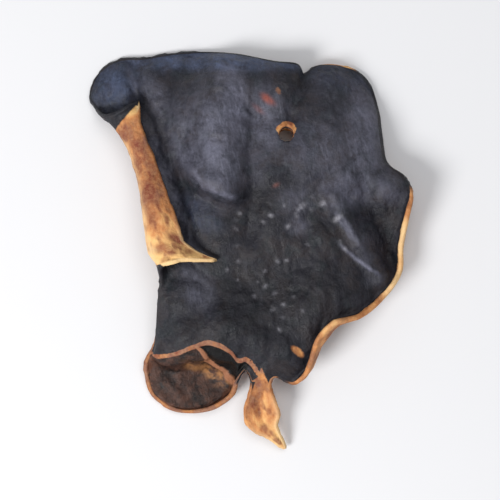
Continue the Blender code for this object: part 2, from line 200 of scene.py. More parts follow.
# Fine wrinkles of the two sides, in millimetres: wave size, then height. They are low at the margin and
# reach their full height some way in.
FACE_WRINKLES = ((2.4, 0.16), (1.15, 0.08), (0.55, 0.035))
BACK_WRINKLES = ((1.8, 0.10), (0.7, 0.05), (0.32, 0.02))
MARGIN_WRINKLES = 0.25  # of the full height
FULL_WRINKLES_FROM = 1.6  # millimetres from the margin
WRINKLE_TURN = (0.5, 0.35, 0.8)  # radians
WRINKLE_STRETCH = (1.0, 0.7, 1.0)
BEND_SIZE = 4.0  # of the waves in which the wrinkles sway
BEND = 1.2  # how far they sway
FOLD_RISE = 2.2  # what noise is multiplied by for a fold of full height
FOLD_LEVEL = 0.45  # the share of a fold's height that is below the plain sheet
FACE_SEED = 30
BACK_SEED = 60

# The ragged line of the margin, in shares of its thickness: how far it stands out, then two sets of waves
# with their size in millimetres, height and seed
RIM_OUT = 0.42
RIM_WAVES = ((0.9, 0.22, 90), (0.4, 0.16, 91))

# Sharp low creases of the face: from x, y to x, y and half width in units, then height in millimetres
CREASES = (
    (17.6, -5.2, 24.8, -11.4, 0.5, 0.26),
    (16.2, 3.0, 21.2, -6.0, 0.55, 0.2),
    (-11.4, 10.6, -9.8, 7.0, 0.45, 0.2),
    (-9.8, 7.0, -4.2, 5.1, 0.45, 0.24),
    (-20.6, 31.0, -22.6, 26.2, 0.5, 0.16),
    (-15.0, 31.5, -12.5, 24.0, 0.5, 0.12),
    (10.5, 22.0, 15.5, 25.5, 0.5, 0.12),
)
CREASE_ENDS = 0.4  # the height at a crease's ends, as a share of that at its middle

# Pale glints of the face in units: x, y, half length, half width, turn in degrees, then how strong
# Their pale colour is a painted highlight on small bumps
GLINTS = (
    (9.3, 2.9, 0.9, 0.5, 40, 0.8), (13.6, 3.4, 0.8, 0.55, 20, 0.7), (16.5, 0.5, 0.8, 0.5, 50, 1.0),
    (6.5, -1.2, 0.6, 0.45, 60, 0.6), (3.4, 1.0, 0.5, 0.4, 0, 0.6), (17.9, -5.5, 0.6, 0.45, -40, 0.6),
    (2.2, -13.2, 0.5, 0.4, 30, 0.55), (-0.2, -15.3, 0.45, 0.4, 0, 0.5), (-5.6, -9.9, 0.5, 0.4, 70, 0.4),
    (5.9, -16.9, 0.45, 0.4, 0, 0.45), (19.3, 4.5, 0.6, 0.4, 10, 0.4), (-7.3, 25.7, 0.9, 0.6, 20, 0.35),
)
SMALL_GLINTS = 26  # more of them at random
GLINT_SEED = 7
GLINT_PATCH = (-4.0, -22.0, 20.0, 5.0)  # from x, y to x, y in units
GLINT_HEIGHT = 0.07  # millimetres

# Coloured spots of the face in units: x, y, half length, half width, turn in degrees, then how strong
RUST = ((2.6, 24.2, 1.5, 0.7, -38, 1.0), (0.7, 22.3, 1.6, 0.55, -38, 0.3), (4.3, 7.0, 0.7, 0.4, 30, 0.35))
TAN_SPOTS = ((4.6, 25.8, 0.7, 1.1, 10, 0.5), (8.3, -26.0, 1.6, 0.8, -38, 1.0))

# The same for brown on the tongue, and for gold in the cup, painted light on its lit right side
BROWN = (
    (0.9, -38.8, 1.5, 0.7, 75, 0.8), (2.9, -38.6, 0.9, 0.5, 60, 0.3), (1.2, -35.0, 2.0, 0.5, 80, 0.3),
)
PAINTED_LIGHT_GOLD = (
    (-8.0, -30.8, 3.6, 1.7, -40, 1.0), (-12.5, -28.8, 2.0, 1.1, -20, 0.6),
    (-5.4, -33.0, 1.6, 0.8, -60, 0.6),
)

# The same for the rolled strip: its red-brown marks and its pale tip
RED_MARKS = (
    (-23.1, 14.9, 1.9, 1.0, -65, 1.2), (-20.8, 5.6, 2.4, 1.1, -85, 1.4), (-26.0, 17.2, 1.4, 0.9, -45, 1.0),
    (-15.7, -3.9, 1.9, 0.9, -30, 1.4), (-16.4, -6.4, 1.1, 0.9, 0, 1.1), (-18.2, -5.6, 1.3, 1.0, 20, 0.9),
    (-13.4, -6.4, 1.2, 0.8, 0, 0.8), (-20.2, 1.2, 2.1, 1.3, -60, 0.5), (-19.2, 8.2, 1.6, 0.9, -50, 0.6),
    (-21.0, 11.4, 2.2, 0.9, -60, 0.5),
)
PALE_TIP = ((-24.2, 22.9, 1.7, 0.9, 60, 1.4),)

# Blue-grey bloom and painted highlight: x, y, half length, half width, turn in degrees, then how strong
# The painted highlight lies on the hump and ridge, with painted light over the shade by the rolled strip
BLOOM_AND_HIGHLIGHTS = (
    (-8.0, 18.0, 13.0, 6.5, -85, 0.3),
    (-7.4, 15.5, 9.5, 3.6, -80, 0.75),
    (-4.6, 22.5, 9.5, 3.4, -86, 0.85),
    (-24.8, 28.2, 2.6, 0.7, -68, 0.6),
    (-7.0, 8.8, 4.2, 3.4, -30, 0.55),
    (-7.6, 6.3, 4.2, 0.6, -24, 0.8),
    (-10.8, 8.6, 2.4, 0.6, -62, 0.75),
    (-12.0, 12.0, 4.5, 2.6, -60, 0.6),
    (-13.0, 17.0, 8.0, 4.0, -75, 0.38),
    (-17.4, 8.5, 13.0, 1.7, -71, 0.5),
    (-11.5, -13.5, 5.5, 3.0, -70, 0.33),
    (8.5, -1.0, 2.5, 2.0, 0, 0.3),
    (2.0, 20.0, 7.0, 4.5, -80, 0.55),
    (0.0, 13.0, 4.0, 5.0, 0, 0.3),
    (8.5, 4.0, 4.0, 3.0, 0, 0.3),
    (13.5, 14.0, 8.0, 6.5, 0, 0.36),
    (21.5, 17.0, 4.5, 10.0, 0, 0.62),
    (16.0, 26.0, 7.0, 4.0, 0, 0.12),
    (18.5, 6.0, 5.5, 4.0, 0, 0.62),
    (26.5, 7.0, 4.0, 3.0, -40, 0.35),
    (22.5, -6.0, 3.0, 8.0, 20, 0.18),
    (21.0, -8.2, 5.4, 0.45, -40, 0.85),
    (18.4, -1.6, 4.6, 0.7, -57, 0.6),
    (-20.0, 25.0, 6.0, 2.6, -60, 0.35),
)

# The same where the face is darkest
DARK_SPOTS = (
    (2.0, -17.0, 17.0, 9.0, 0, 0.55), (1.0, 4.0, 3.0, 5.0, 0, 0.5), (27.5, -0.5, 2.5, 4.0, 0, 0.4),
)

# The same where a painted bluish sheen lies on the face, standing for highlight and reflected haze
BLUE_SHEEN = (
    (-28.0, 27.5, 5.0, 4.5, 40, 0.4),
    (-6.0, 32.3, 22.0, 2.4, 0, 0.6),
    (17.0, 29.0, 7.0, 3.0, -20, 0.15),
    (-10.5, 1.5, 4.5, 3.0, -40, 0.16),
)

# How much of the face the tan margin takes in millimetres, at places of the margin. A place is the number
# of a point of OUTLINE, with the way to the next point as its fraction.
RIM_WIDE = (
    (0.0, 0.1), (0.4, 0.0), (6.6, 0.0), (7.3, 0.2), (8.2, 0.14), (8.8, 0.0), (24.0, 0.0), (24.3, 0.25),
    (30.6, 0.25), (31.0, 0.0), (33.9, 0.0), (34.5, 0.36), (39.5, 0.36), (39.9, 0.0), (42.0, 0.0),
    (42.6, 0.2), (49.6, 0.2), (50.2, 0.0), (50.6, 0.0), (51.4, 0.2), (52.0, 0.3), (53.5, 0.5),
    (55.2, 0.4), (56.4, 0.16), (57.2, 0.5), (58.6, 0.5), (59.3, 0.3), (60.0, 0.1),
)

# How pale the tan is at places of the margin: pinkish brown below 0, brown at 0, orange, then yellow at 1
PALE = (
    (0.0, 0.4), (12.0, 0.5), (23.2, 1.0), (24.0, 0.5), (24.4, 0.0), (26.8, 0.12), (27.6, 0.5), (28.3, 1.0),
    (31.0, 1.1), (33.0, 0.2), (34.5, -0.3), (41.0, -0.25), (42.0, -0.1), (43.0, 0.3), (44.5, 0.6),
    (46.0, 0.85), (47.0, 0.7), (48.4, 0.55), (49.6, 0.0), (51.0, 0.1), (52.5, 0.3), (54.0, 0.5),
    (55.6, 0.2), (56.5, 0.9), (57.4, 0.5), (58.4, 0.95), (59.4, 0.2), (60.0, 0.4),
)
DEEP_PALE = 0.5  # on the underside far from the margin
DEEP_FROM = 4.0  # millimetres from the margin
DEEP_FADE = 3.0

# The lip over the cup: places of the margin, and how far it is past START there in millimetres. Then come
# its half width and height in millimetres, and the place where the cup ends.
LIP_LINE = (
    (33.5, 6.0), (34.5, 3.3), (35.0, 1.5), (35.4, 1.05), (36.0, 0.82), (40.0, 0.72), (41.0, 0.3),
    (41.8, -0.6), (42.2, 3.0), (44.0, 6.0),
)
LIP_WIDTH = 0.25
LIP_HEIGHT = 0.1
CUP_END = 41.2

# The ledge in the cup, from x, y to x, y in units, then in millimetres its height, half width, the drop
# past it, and how far its line sways in waves of a size. Past it the inside is black.
# The black past the ledge is a painted shadow of the deep gap
LEDGE = ((-10.0, -27.2), (-3.3, -33.4))
LEDGE_HEIGHT = 0.14
LEDGE_WIDTH = 0.2
LEDGE_DROP = 0.22
LEDGE_SWAY = 0.7
SWAY_SIZE = 2.2
SWAY_SEED = 95

# The line in units over which the dark face reaches the back of the sheet, at the rolled strip's top end,
# and the places of the margin and the reach in millimetres that it holds for
CORNER = ((-27.2, 18.9), (-23.5, 23.7))
CORNER_PLACES = (20.0, 26.0)
CORNER_REACH = 5.0

# The places of the margin between which the rolled strip shows the back, and those between which the
# margin below it stays dark
STRIP_PLACES = (24.2, 31.2)
STRIP_FADE = 0.6
STRIP_END = 30.8
BARE_TO = 33.5

# The tan part of the tongue in units: a wedge that begins at its top and widens by this much on each side
# for a unit of the way down, and the part of the plan that holds it, as x, x and the highest y
TONGUE_TOP = (1.4, -29.6)
TONGUE_WIDENS = 0.42
TONGUE_LEAST = 0.2
TONGUE_PART = (-3.4, 6.5, -29.0)

# The tan lip round the pinhole in millimetres: how much further it reaches above the hole than below it,
# and how far it reaches below it
PINHOLE_LIP = 0.55
PINHOLE_LEAST = -0.06

# Colours of the face, as linear red, green and blue
NEAR_BLACK = (0.0042, 0.0041, 0.0062)
SOFT_BLACK = (0.0080, 0.0077, 0.0112)
MOTTLE_GREY = (0.0164, 0.0160, 0.0230)
WARM_GREY = (0.028, 0.0205, 0.0200)
COLD_GREY = (0.013, 0.020, 0.023)
DEEP_BLACK = (0.0040, 0.0038, 0.0056)
GRAIN_GREY = (0.034, 0.033, 0.041)
STREAK_GREY = (0.070, 0.070, 0.086)
# Bloom that is partly painted highlight
BLOOM_AND_HIGHLIGHT_GREY = (0.188, 0.190, 0.252)
# A painted bluish sheen of highlight and reflected haze
BLUE_SHEEN_GREY = (0.110, 0.148, 0.260)
# Painted highlight of the glints
GLINT_GREY = (0.36, 0.35, 0.39)
RUST_RED = (0.30, 0.070, 0.042)
# Colours of the inside of the cup
CUP_BLACK = (0.0075, 0.0040, 0.0034)
CUP_BROWN = (0.048, 0.0215, 0.0150)
CUP_LIGHT = (0.092, 0.042, 0.028)
CUP_RING = (0.155, 0.060, 0.034)
# Painted light on the cup's lit right side
CUP_PAINTED_LIGHT_GOLD = (0.36, 0.165, 0.060)
# Painted shadow of the deep gap past the ledge
PAINTED_GAP_SHADOW = (0.0022, 0.0018, 0.0020)
LEDGE_TAN = (0.34, 0.145, 0.075)
# Colours of the tan parts
PINKISH_BROWN = (0.235, 0.100, 0.064)
ORANGE_BROWN = (0.360, 0.136, 0.050)
ORANGE = (0.56, 0.225, 0.076)
YELLOW = (0.80, 0.480, 0.185)
RED_BROWN = (0.185, 0.043, 0.022)
GRAIN_TAN = (0.70, 0.42, 0.20)
# Paler margin colour, partly a painted highlight
EDGE_YELLOW_AND_HIGHLIGHT = (0.86, 0.62, 0.33)

FAR = 3.0  # millimetres, where the distances that colour the sheet stop
BUMP_HEIGHT = 0.07  # millimetres
BUMP_STRENGTH = 0.7
SPECULAR = 0.24

# Metres
CAMERA_HEIGHT = 0.26
CLIP_START = 0.01
FRAME_SIDE = 0.0530  # of the table that the picture takes in
FLOOR_REACH = 1.5

# The lamps, which point at the middle: name, place and size in metres, watts
LAMPS = (("key", (-0.16, -0.14, 0.20), 0.12, 0.75), ("over", (0.06, 0.10, 0.42), 0.30, 0.62))
SKY = (0.95, 0.96, 1.0, 1)
SKY_STRENGTH = 0.40
FLOOR_GREY = (0.74, 0.74, 0.75)
FLOOR_ROUGHNESS = 0.9


def relief(x, y):
    """The height of the sheet over the table in millimetres, at x and y in units."""
    far = ((x - CREST_AT[0]) ** 2 + (y - CREST_AT[1]) ** 2) / CREST_REACH**2
    z = CREST - CREST_DROP * far
    for x0, y0, x1, y1, width, height in RELIEF:
        dx, dy = x1 - x0, y1 - y0
        t = np.clip(((x - x0) * dx + (y - y0) * dy) / (dx * dx + dy * dy + 1e-9), 0, 1)
        gap = (x - x0 - t * dx) ** 2 + (y - y0 - t * dy) ** 2
        z = z + height * np.exp(-gap / width**2)
    return z


def waves(points, size, seed):
    """Smooth noise about zero at each point, for waves of about this size."""
    shift = Vector((seed * 7.3, seed * 3.1, seed * 5.7))
    return np.array([noise.noise(Vector(p) / size + shift) for p in points])


def smooth_step(t):
    t = np.clip(t, 0, 1)
    return t * t * (3 - 2 * t)


def closed_curve(points, per_point):
    """A smooth closed curve through the points, with this many places for each."""
    points = np.array(points)
    count = len(points)
    place = np.arange(count * per_point) / per_point
    i = place.astype(int)
    t = (place - i)[:, None]
    a, b, c, d = (points[(i + k) % count] for k in (-1, 0, 1, 2))
    return b + 0.5 * t * (c - a + t * (2 * a - 5 * b + 4 * c - d + t * (3 * (b - c) + d - a)))


def curl(per_point):
    """Each column of CURL after the first, at each place round the margin."""
    rows = np.array(CURL, float)
    again = rows[0].copy()
    again[0] += len(OUTLINE)
    rows = np.vstack([rows, again])
    place = np.arange(len(OUTLINE) * per_point) / per_point
    return [np.interp(place, rows[:, 0], rows[:, k]) for k in range(1, rows.shape[1])]


def circle(centre, radius, sides):
    turn = np.arange(sides) * 2 * np.pi / sides
    return np.array(centre) * UNIT + radius * np.stack([np.cos(turn), np.sin(turn)], axis=1)


def inside(points, loop):
    """Whether each point is inside the closed loop."""
    x, y = points[:, :1], points[:, 1:2]
    x0, y0 = loop.T
    x1, y1 = np.roll(loop, -1, axis=0).T
    crosses = (y0 > y) != (y1 > y)
    with np.errstate(divide="ignore", invalid="ignore"):
        right = x < (x1 - x0) * (y - y0) / (y1 - y0) + x0
    return (crosses & right).sum(axis=1) % 2 == 1


def distance(points, loop):
    """The distance from each point to the nearest of the loop's points, and that point's number."""
    tree = kdtree.KDTree(len(loop))
    for i, (x, y) in enumerate(loop):
        tree.insert((x, y, 0), i)
    tree.balance()
    found = [tree.find((x, y, 0)) for x, y in points]
    return np.array([f[2] for f in found]), np.array([f[1] for f in found])


def interior(start, hole, rings, cell):
    """A plan of even triangles between the closed lines start and hole, with points on the given rings.
    Its points begin with those of start and then of hole."""
    low, high = start.min(axis=0), start.max(axis=0)
    rows = np.arange(low[1], high[1], cell * ROW_STEP)
    spots = [
        (x, y) for k, y in enumerate(rows) for x in np.arange(low[0] + (k % 2) * cell / 2, high[0], cell)
    ]
    spots = np.array(spots)
    fixed = np.concatenate([start, hole, *rings])
    spots = spots[inside(spots, start) & (distance(spots, fixed)[0] > LEAST_GAP * cell)]
    spots = spots[np.linalg.norm(spots - hole.mean(axis=0), axis=1) > HOLE_RADIUS]
    points = np.concatenate([fixed, spots])
    first, second = len(start), len(start) + len(hole)
    edges = [(i, (i + 1) % first) for i in range(first)]
    edges += [(i, i + 1 if i + 1 < second else first) for i in range(first, second)]
    found = delaunay_2d_cdt([Vector(p) for p in points], edges, [], 1, 1e-7)
    spots = np.array([tuple(p) for p in found[0]])
    faces = np.array(found[2])
    middle = spots[faces].mean(axis=1)
    faces = faces[~inside(middle, hole)]
    a, b, c = (spots[faces[:, k]] for k in range(3))
    turned = (b[:, 0] - a[:, 0]) * (c[:, 1] - a[:, 1]) < (b[:, 1] - a[:, 1]) * (c[:, 0] - a[:, 0])
    faces[turned] = faces[turned][:, ::-1]
    return spots, faces


def sheet(per_point, band_rings, cell):
    """The middle of the sheet's thickness in millimetres, as in the solid: its points, its triangles with
    the dark face up, and for each point how far out it is from 0 inside START to 1 at the margin, how far
    it is from the margin along the sheet, how far past START, and the nearest place of the margin. Then
    come the numbers of the margin's and the hole's points."""
    edge = closed_curve(OUTLINE, per_point) * UNIT
    start = closed_curve(START, per_point) * UNIT
    lift, turn1, radius1, run1, turn2, radius2, run2 = curl(per_point)
    columns = len(edge)
    span = np.linalg.norm(edge - start, axis=1)
    way = (edge - start) / span[:, None]
    arc1 = np.radians(np.abs(turn1)) * radius1 + 1e-6
    arc2 = np.radians(np.abs(turn2)) * radius2 + 1e-6

    def profile(lead):
        whole = lead + arc1 + run1 + arc2 + run2
        steps = band_rings * BAND_STEPS
        s = (np.arange(steps) + 0.5)[:, None] / steps * whole
        heading = turn1 * np.clip((s - lead) / arc1, 0, 1)
        heading = np.radians(heading + turn2 * np.clip((s - lead - arc1 - run1) / arc2, 0, 1))
        zero = np.zeros((1, columns))
        out = np.vstack([zero, np.cumsum(np.cos(heading), axis=0)]) * whole / steps
        up = np.vstack([zero, np.cumsum(np.sin(heading), axis=0)]) * whole / steps
        return out, up

    lead = np.maximum(LEAST_LEAD, span - profile(np.zeros(columns))[0].max(axis=0))
    out, up = profile(lead)
    out = out * (span / out.max(axis=0))
    whole = lead + arc1 + run1 + arc2 + run2
    out, up = out[::BAND_STEPS], up[::BAND_STEPS]
    hole = circle(HOLE, HOLE_RADIUS, HOLE_SIDES)
    rings = [circle(FOOT, FOOT_RADIUS + extra, FOOT_SIDES) for extra in FOOT_RINGS]
    plan, faces = interior(start, hole, rings, cell)
    near, which = distance(plan, start)
    weight = 1 / (np.linalg.norm(plan[:, None] - start[None], axis=2) + NEAREST) ** 3
    weight = weight / weight.sum(axis=1)[:, None]
    raised = (weight @ lift) * np.exp(-((near / LIFT_REACH) ** 2))
    z = relief(plan[:, 0] / UNIT, plan[:, 1] / UNIT) + raised
    points = [np.column_stack([plan, z])]
    share = [np.zeros(len(plan))]
    depth = [near + whole[which]]
    past = [-near]
    place = [which / per_point]
    faces = [faces]
    inner = np.arange(columns)
    count = len(plan)
    for k in range(1, band_rings + 1):
        spot = start + way * out[k][:, None]
        z = relief(spot[:, 0] / UNIT, spot[:, 1] / UNIT) + lift + up[k]
        points.append(np.column_stack([spot, z]))
        share.append(np.full(columns, k / band_rings))
        depth.append(whole * (1 - k / band_rings))
        past.append(whole * k / band_rings)
        place.append(np.arange(columns) / per_point)
        outer = count + np.arange(columns)
        count += columns
        a, b, c, d = inner, outer, np.roll(outer, -1), np.roll(inner, -1)
        faces.append(np.column_stack([a, b, c]))
        faces.append(np.column_stack([a, c, d]))
        inner = outer
    hole_points = columns + np.arange(HOLE_SIDES)
    lists = (points, faces, share, depth, past, place)
    return *(np.concatenate(part) for part in lists), inner, hole_points


def facing(points, faces):
    """The unit normal at each point."""
    a, b, c = (points[faces[:, k]] for k in range(3))
    across = np.cross(b - a, c - a)
    normal = np.zeros_like(points)
    for k in range(3):
        np.add.at(normal, faces[:, k], across)
    return normal / np.linalg.norm(normal, axis=1)[:, None]


def eased(values, faces, rounds):
    """The values at the points, each set this many times to the mean of its own and its neighbours'."""
    corners = faces, np.roll(faces, 1, axis=1), np.roll(faces, 2, axis=1)
    count = np.ones(len(values))
    for corner in corners:
        np.add.at(count, corner[:, 0], 1)
    for _ in range(rounds):
        whole = values.copy()
        for corner in corners:
            np.add.at(whole, corner[:, 0], values[corner[:, 1]])
        values = whole / count[:, None]
    return values


def wrinkles(points, sizes, seed):
    """The height of crumpled wrinkles: sharp valleys between soft folds, in waves of each size."""
    height = np.zeros(len(points))
    turned = points @ np.array(Euler(WRINKLE_TURN).to_matrix())
    bend = BEND * np.column_stack([waves(turned, BEND_SIZE, seed + k) for k in range(3)])
    for k, (size, tall) in enumerate(sizes):
        fold = np.abs(waves((turned + bend) * WRINKLE_STRETCH, size, seed + 10 + k))
        height += tall * (FOLD_RISE * fold - FOLD_LEVEL)
    return height


def ellipse(plan, x, y, long, wide, turn):
    """How far out each place of the plan is, from 0 at the middle of an ellipse to 1 at its edge."""
    turn = np.radians(turn)
    dx, dy = plan[:, 0] - x, plan[:, 1] - y
    along = (dx * np.cos(turn) + dy * np.sin(turn)) / long
    across = (dy * np.cos(turn) - dx * np.sin(turn)) / wide
    return np.hypot(along, across)


def soft_spots(plan, rows):
    """The most that any of the spots reaches at each place, each fading to zero at its edge."""
    return np.max([strong * np.exp(-(ellipse(plan, *row) ** 3)) for *row, strong in rows], axis=0)


def ridges(plan, rows):
    """The height of low creases on the face in millimetres."""
    height = np.zeros(len(plan))
    for x0, y0, x1, y1, width, tall in rows:
        ahead = np.array([x1 - x0, y1 - y0])
        from_first = plan - (x0, y0)
        t = np.clip(from_first @ ahead / (ahead @ ahead), 0, 1)
        gap = np.linalg.norm(from_first - t[:, None] * ahead, axis=1)
        arch = CREASE_ENDS + (1 - CREASE_ENDS) * 4 * t * (1 - t)
        height += tall * np.exp(-((gap / width) ** 2)) * arch
    return height


def side_of(plan, first, second):
    """How far each place of the plan is to the left of the line from first to second, in millimetres."""
    (x0, y0), (x1, y1) = first, second
    across = (plan[:, 1] - y0) * (x1 - x0) - (plan[:, 0] - x0) * (y1 - y0)
    return across * UNIT / np.hypot(x1 - x0, y1 - y0)


def all_glints():
    """The rows of GLINTS and the random small ones."""
    random = np.random.default_rng(GLINT_SEED)
    low_x, low_y, high_x, high_y = GLINT_PATCH
    rows = list(GLINTS)
    for _ in range(SMALL_GLINTS):
        x, y = random.uniform(low_x, high_x), random.uniform(low_y, high_y)
        long, wide = random.uniform(0.3, 0.6), random.uniform(0.25, 0.4)
        rows.append((x, y, long, wide, random.uniform(-80, 20), random.uniform(0.2, 0.5)))
    return rows


def cup_lines(grid, past, place):
    """How far each point is into the cup past the lip's line, and past the ledge's line, in millimetres."""
    near_cup = (place > LIP_LINE[0][0]) & (place < LIP_LINE[-1][0])
    lip_gap = np.where(near_cup, past - np.interp(place, *np.transpose(LIP_LINE)), -FAR)
    lip_gap = np.clip(lip_gap, -FAR, FAR)
    ledge = side_of(grid[:, :2] / UNIT, *LEDGE) + LEDGE_SWAY * waves(grid, SWAY_SIZE, SWAY_SEED)
    return lip_gap, np.where(lip_gap > 0, ledge, -FAR)


def cup_relief(depth, lip_gap, ledge):
    """The height of the ledge in the cup and of the drop past it, in millimetres."""
    in_cup = smooth_step((lip_gap - LIP_WIDTH) / 0.4) * smooth_step(depth / 0.8)
    step = LEDGE_HEIGHT * np.exp(-((ledge / LEDGE_WIDTH) ** 2)) - LEDGE_DROP * smooth_step(ledge / 0.4)
    return in_cup * step


def underside(grid, normal, below, share):
    """The points of the underside, this far below the middle of the sheet, with the veins and the foot,
    which is cut off flat on the table."""
    low = grid - normal * below[:, None]
    from_foot = grid[:, :2] - np.array(FOOT) * UNIT
    gap = np.linalg.norm(from_foot, axis=1)
    turn = np.arctan2(from_foot[:, 1], from_foot[:, 0])
    fade = smooth_step((gap - VEINS_FROM) / VEINS_FADE_IN)
    fade = fade * (1 - smooth_step((gap - VEINS_TO) / VEINS_FADE_OUT)) * (share < 0.1)
    low[:, 2] -= VEIN_HEIGHT * fade * (0.5 + 0.5 * np.cos(VEINS * turn + VEIN_TWIST * gap))
    down = np.clip((FOOT_FLARE - gap) / (FOOT_FLARE - FOOT_RADIUS - 0.01), 0, 1) ** FOOT_CURVE
    down = np.where(share > 0, 0, down)
    low[:, :2] += (grid[:, :2] - low[:, :2]) * down[:, None]
    low[:, 2] *= 1 - down
    low[:, 2] = np.where(low[:, 2] < FLAT_BELOW, 0, low[:, 2])
    return low


def rim_line(edge, normal):
    """The ragged line just outside the margin's points, which closes the sheet."""
    along = np.roll(edge, -1, axis=0) - np.roll(edge, 1, axis=0)
    outward = np.cross(along, normal)
    outward /= np.linalg.norm(outward, axis=1)[:, None]
    out = RIM_OUT
    for size, height, seed in RIM_WAVES:
        out = out + height * waves(edge, size, seed)
    line = edge + outward * (THIN_RIM * out)[:, None]
    line[:, 2] = np.maximum(line[:, 2], THIN_RIM * 0.4)
    return line


def closed_mesh(top, low, line, faces, margin, hole):
    """The ear's mesh from the points of its face, its underside and the line round its margin. It is placed
    in the middle of its solid, as seen from above."""
    count = len(top)
    rim = 2 * count + np.arange(len(margin))
    solid = [faces, faces[:, ::-1] + count]
    for a, b in ((margin, rim), (rim, margin + count)):
        c, d = np.roll(b, -1), np.roll(a, -1)
        solid += [np.column_stack([a, b, c]), np.column_stack([a, c, d])]
    a, b = hole, hole + count
    c, d = np.roll(b, -1), np.roll(a, -1)
    solid += [np.column_stack([a, c, b]), np.column_stack([a, d, c])]
    points = np.concatenate([top, low, line])
    box_low, box_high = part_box("wood_ear")
    middle = (np.array(box_low) + np.array(box_high)) / (2 * MM)
    centre = (points.min(axis=0) + points.max(axis=0)) / 2
    points[:, :2] += middle[:2] - centre[:2]

    mesh = bpy.data.meshes.new("wood_ear_flesh")
    mesh.from_pydata((points * MM).tolist(), [], np.concatenate(solid).tolist())
    mesh.validate()
    mesh.shade_smooth()
    return mesh


def colour_masks(grid, normal, share, depth, place, margin, lip_gap, ledge, glint):
    """What the material is told of the sheet, by name: the values at the points of the face, of the
    underside and of the line round the margin. Distances are in millimetres, above zero inside a part."""
    plan = grid[:, :2] / UNIT
    x, y = plan.T
    none, far = np.zeros(len(grid)), np.full(len(grid), -FAR)
    no_rim, rim_far = np.zeros(len(margin)), np.full(len(margin), -FAR)
    rim_wide = np.interp(place, *np.transpose(RIM_WIDE))
    has_rim = np.clip(rim_wide / 0.1, 0, 1)
    turned_over = share > 0.1

    back = np.maximum(has_rim, smooth_step((depth - 0.1) / 0.5))
    by_corner = (place > CORNER_PLACES[0]) & (place < CORNER_PLACES[1]) & (depth < CORNER_REACH)
    back = np.where(by_corner, np.minimum(back, 0.5 - side_of(plan, *CORNER) * 2), back)
    bare = smooth_step((place - STRIP_END) / 0.4) * (place < BARE_TO)
    back *= 1 - bare * smooth_step((1.8 - depth) / 0.4)

    cup = np.minimum(lip_gap - 0.05, (CUP_END - place) * 1.2)
    tongue = ((TONGUE_TOP[1] - y) * TONGUE_WIDENS - np.abs(x - TONGUE_TOP[0]) + TONGUE_LEAST) * UNIT
    by_tongue = (y < TONGUE_PART[2]) & (x > TONGUE_PART[0]) & (x < TONGUE_PART[1]) & (cup < 0)
    from_hole = grid[:, :2] - np.array(HOLE) * UNIT
    hole_lip = PINHOLE_LIP * smooth_step(from_hole[:, 1] / 1.2 + 0.35) + PINHOLE_LEAST
    pinhole = HOLE_RADIUS + hole_lip - np.linalg.norm(from_hole, axis=1)

    pale = np.interp(place, *np.transpose(PALE))
    back_pale = pale + (DEEP_PALE - pale) * smooth_step((depth - DEEP_FROM) / DEEP_FADE)
    back_pale += turned_over * soft_spots(plan, PALE_TIP)
    in_strip = smooth_step((place - STRIP_PLACES[0]) / STRIP_FADE)
    in_strip = in_strip * smooth_step((STRIP_PLACES[1] - place) / STRIP_FADE)
    # Painted highlight where the rolled strip turns steep at its fold
    fold = in_strip * turned_over * smooth_step((0.85 - np.abs(normal[:, 2])) / 0.6)
    red_marks = turned_over * soft_spots(plan, RED_MARKS)
    return {
        "margin": (np.minimum(depth, FAR), np.minimum(depth, FAR), no_rim),
        "rim_wide": (rim_wide, rim_wide, rim_wide[margin]),
        "back": (none, back, has_rim[margin]),
        "pale": (pale - soft_spots(plan, BROWN), back_pale, pale[margin]),
        "lip": (lip_gap, far, rim_far),
        "cup": (cup, far, rim_far),
        "ledge": (np.clip(ledge, -FAR, FAR), far, rim_far),
        "tongue": (np.where(by_tongue, tongue, -FAR), far, rim_far),
        "pinhole": (np.clip(pinhole, -FAR, FAR), far, rim_far),
        "tan_spots": (soft_spots(plan, TAN_SPOTS), none, no_rim),
        "rust": (soft_spots(plan, RUST), none, no_rim),
        "painted_light_gold": (soft_spots(plan, PAINTED_LIGHT_GOLD), none, no_rim),
        "glint": (glint, none, no_rim),
        "bloom_and_highlight": (soft_spots(plan, BLOOM_AND_HIGHLIGHTS) * (share < 0.8), none, no_rim),
        "dark_spots": (soft_spots(plan, DARK_SPOTS), none, no_rim),
        "blue_sheen": (soft_spots(plan, BLUE_SHEEN) * (share < 0.9), none, no_rim),
        "fold": (none, fold, no_rim),
        "red_marks": (none, red_marks, red_marks[margin]),
    }


